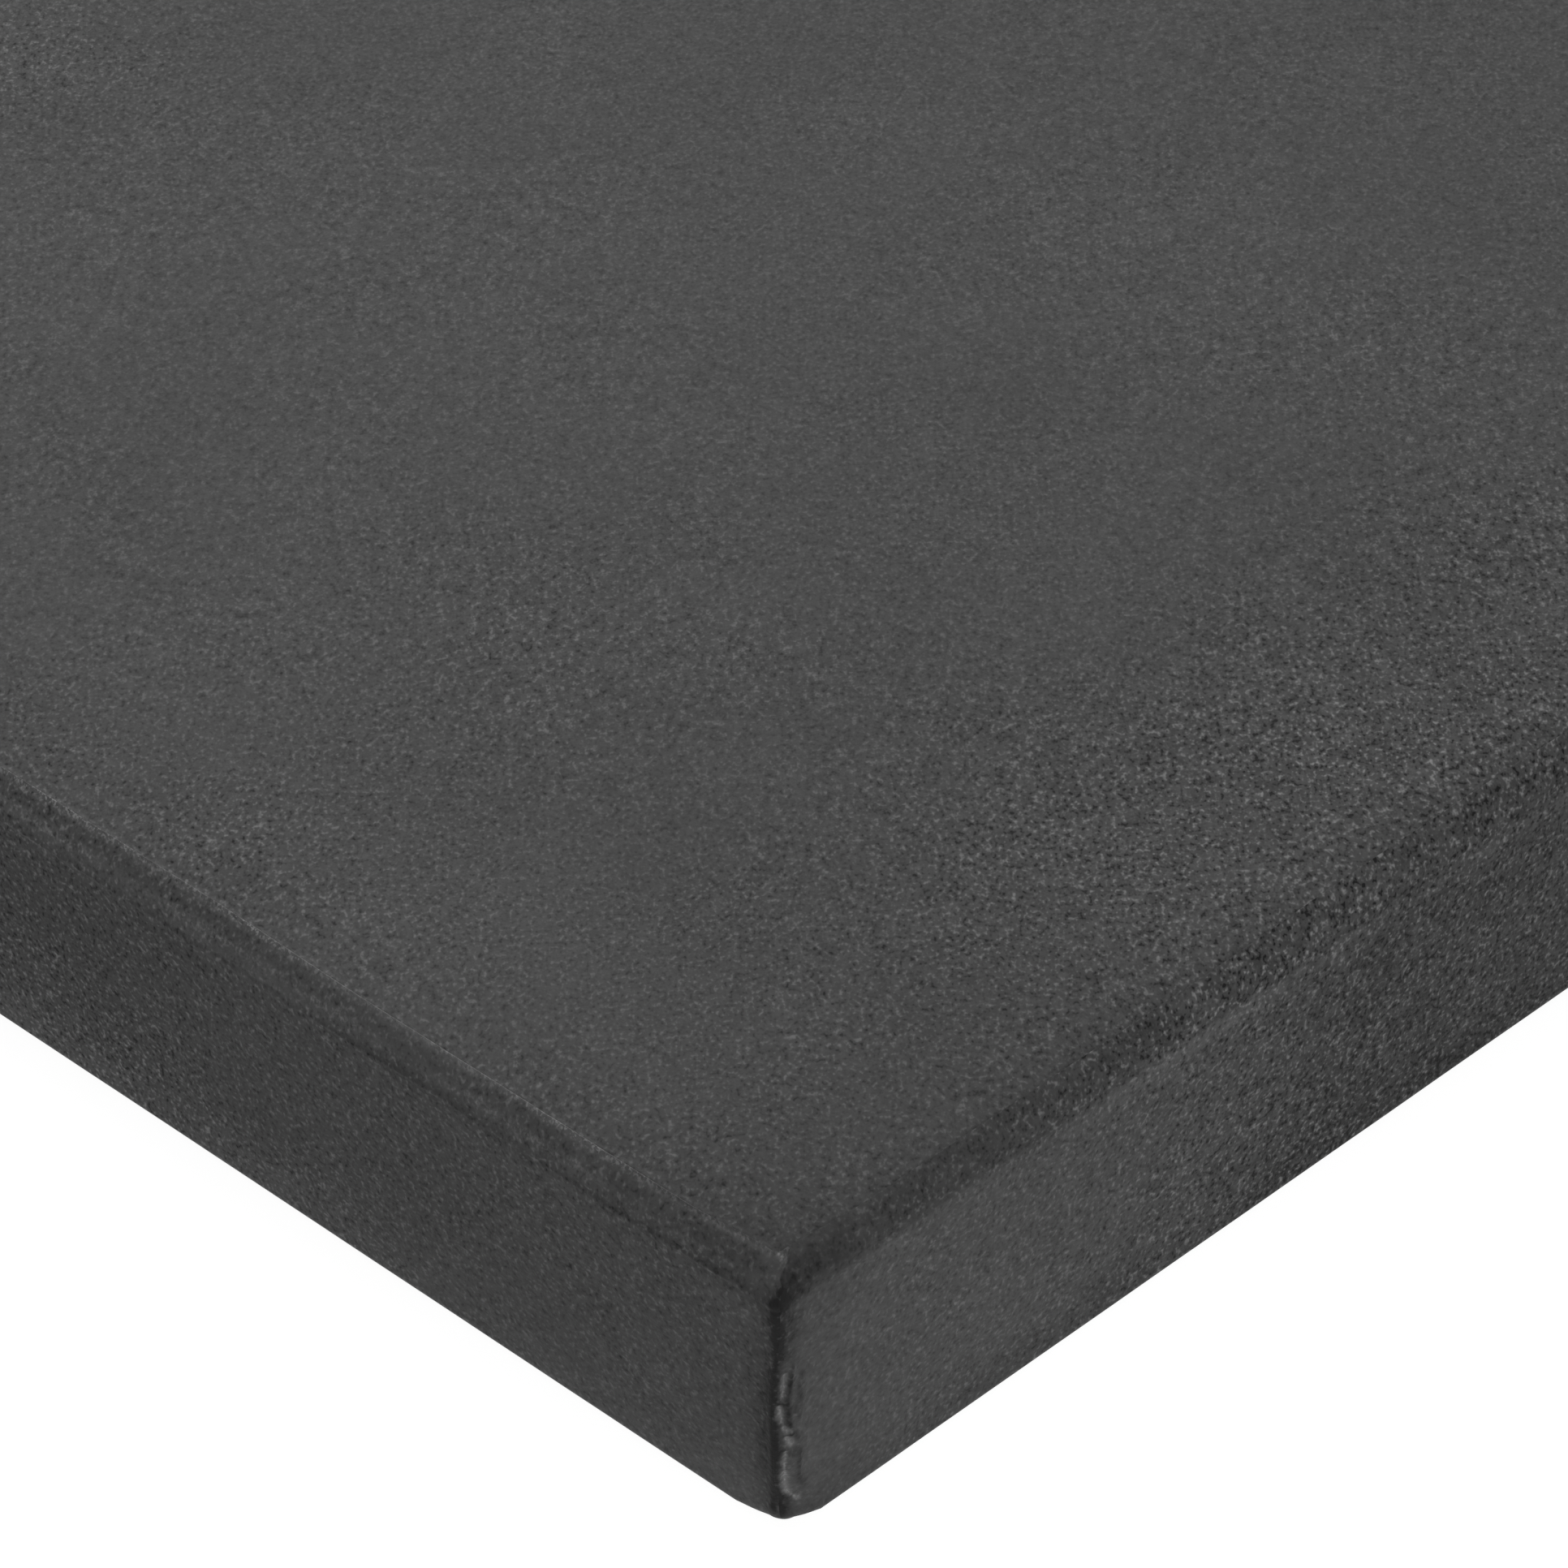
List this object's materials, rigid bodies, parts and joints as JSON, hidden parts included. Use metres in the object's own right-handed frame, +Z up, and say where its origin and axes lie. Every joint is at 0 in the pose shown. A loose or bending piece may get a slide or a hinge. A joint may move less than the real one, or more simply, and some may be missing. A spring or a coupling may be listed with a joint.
{
  "type": "futon mattress",
  "caption": "Full-size futon mattress with a zip-off dark grey velour cover and a layered foam and fibre fill that folds in half.",
  "frame": {"origin": "centre of the underside, on the floor or the frame it lies on", "axes": "+X along the long side, +Y from the front edge to the rear edge with the zip, +Z up out of the sleeping face"},
  "size_m": [1.905, 1.3764, 0.152],
  "materials": {
    "cover_velour": "short charcoal velour pile, plain",
    "liner_cloth": "plain woven cotton-polyester",
    "fibre_wadding": "fluffy polyester wadding",
    "comfort_foam": "open-cell foam, soft grade",
    "support_foam": "open-cell foam, firm grade",
    "zip_tape": "woven polyester tape",
    "zip_coil": "nylon coil",
    "zip_metal": "dark plated die-cast metal",
    "label_satin": "white satin ribbon, blank"
  },
  "bodies": {
    "seat_half": {"top_cover_seat": "cover_velour", "bottom_cover_seat": "cover_velour", "left_boxing_seat": "cover_velour", "right_boxing_seat": "cover_velour", "liner_top_seat": "liner_cloth", "liner_bottom_seat": "liner_cloth", "liner_border_seat": "liner_cloth", "fibre_pad_top_seat": "fibre_wadding", "comfort_foam_seat": "comfort_foam", "core_foam_seat": "support_foam", "base_foam_seat": "support_foam", "fibre_pad_bottom_seat": "fibre_wadding", "front_boxing": "cover_velour"},
    "back_half": {"top_cover_back": "cover_velour", "bottom_cover_back": "cover_velour", "left_boxing_back": "cover_velour", "right_boxing_back": "cover_velour", "liner_top_back": "liner_cloth", "liner_bottom_back": "liner_cloth", "liner_border_back": "liner_cloth", "fibre_pad_top_back": "fibre_wadding", "comfort_foam_back": "comfort_foam", "core_foam_back": "support_foam", "base_foam_back": "support_foam", "fibre_pad_bottom_back": "fibre_wadding", "rear_boxing_upper": "cover_velour", "rear_boxing_lower": "cover_velour", "rear_boxing_left_end": "cover_velour", "rear_boxing_right_end": "cover_velour", "zip_tape_upper": "zip_tape", "zip_tape_lower": "zip_tape", "zip_coil_upper": "zip_coil", "zip_coil_lower": "zip_coil", "zip_stop_left": "zip_metal", "zip_stop_right": "zip_metal", "care_label": "label_satin"},
    "zip_slider_body": {"zip_slider": "zip_metal"},
    "zip_pull_body": {"zip_pull": "zip_metal"}
  },
  "joints": [
    {"name": "fold", "type": "hinge", "parent": "seat_half", "child": "back_half", "pos_m": [0, 0, 0.157], "axis": [1, 0, 0], "range_deg": [0, 179.5]},
    {"name": "zip_travel", "type": "slide", "parent": "back_half", "child": "zip_slider_body", "axis": [-1, 0, 0], "range_m": [0, 1.717]},
    {"name": "pull_swing", "type": "hinge", "parent": "zip_slider_body", "child": "zip_pull_body", "pos_m": [0.8585, 0.6884, 0.076], "axis": [0, 0, -1], "range_deg": [0, 180]}
  ]
}
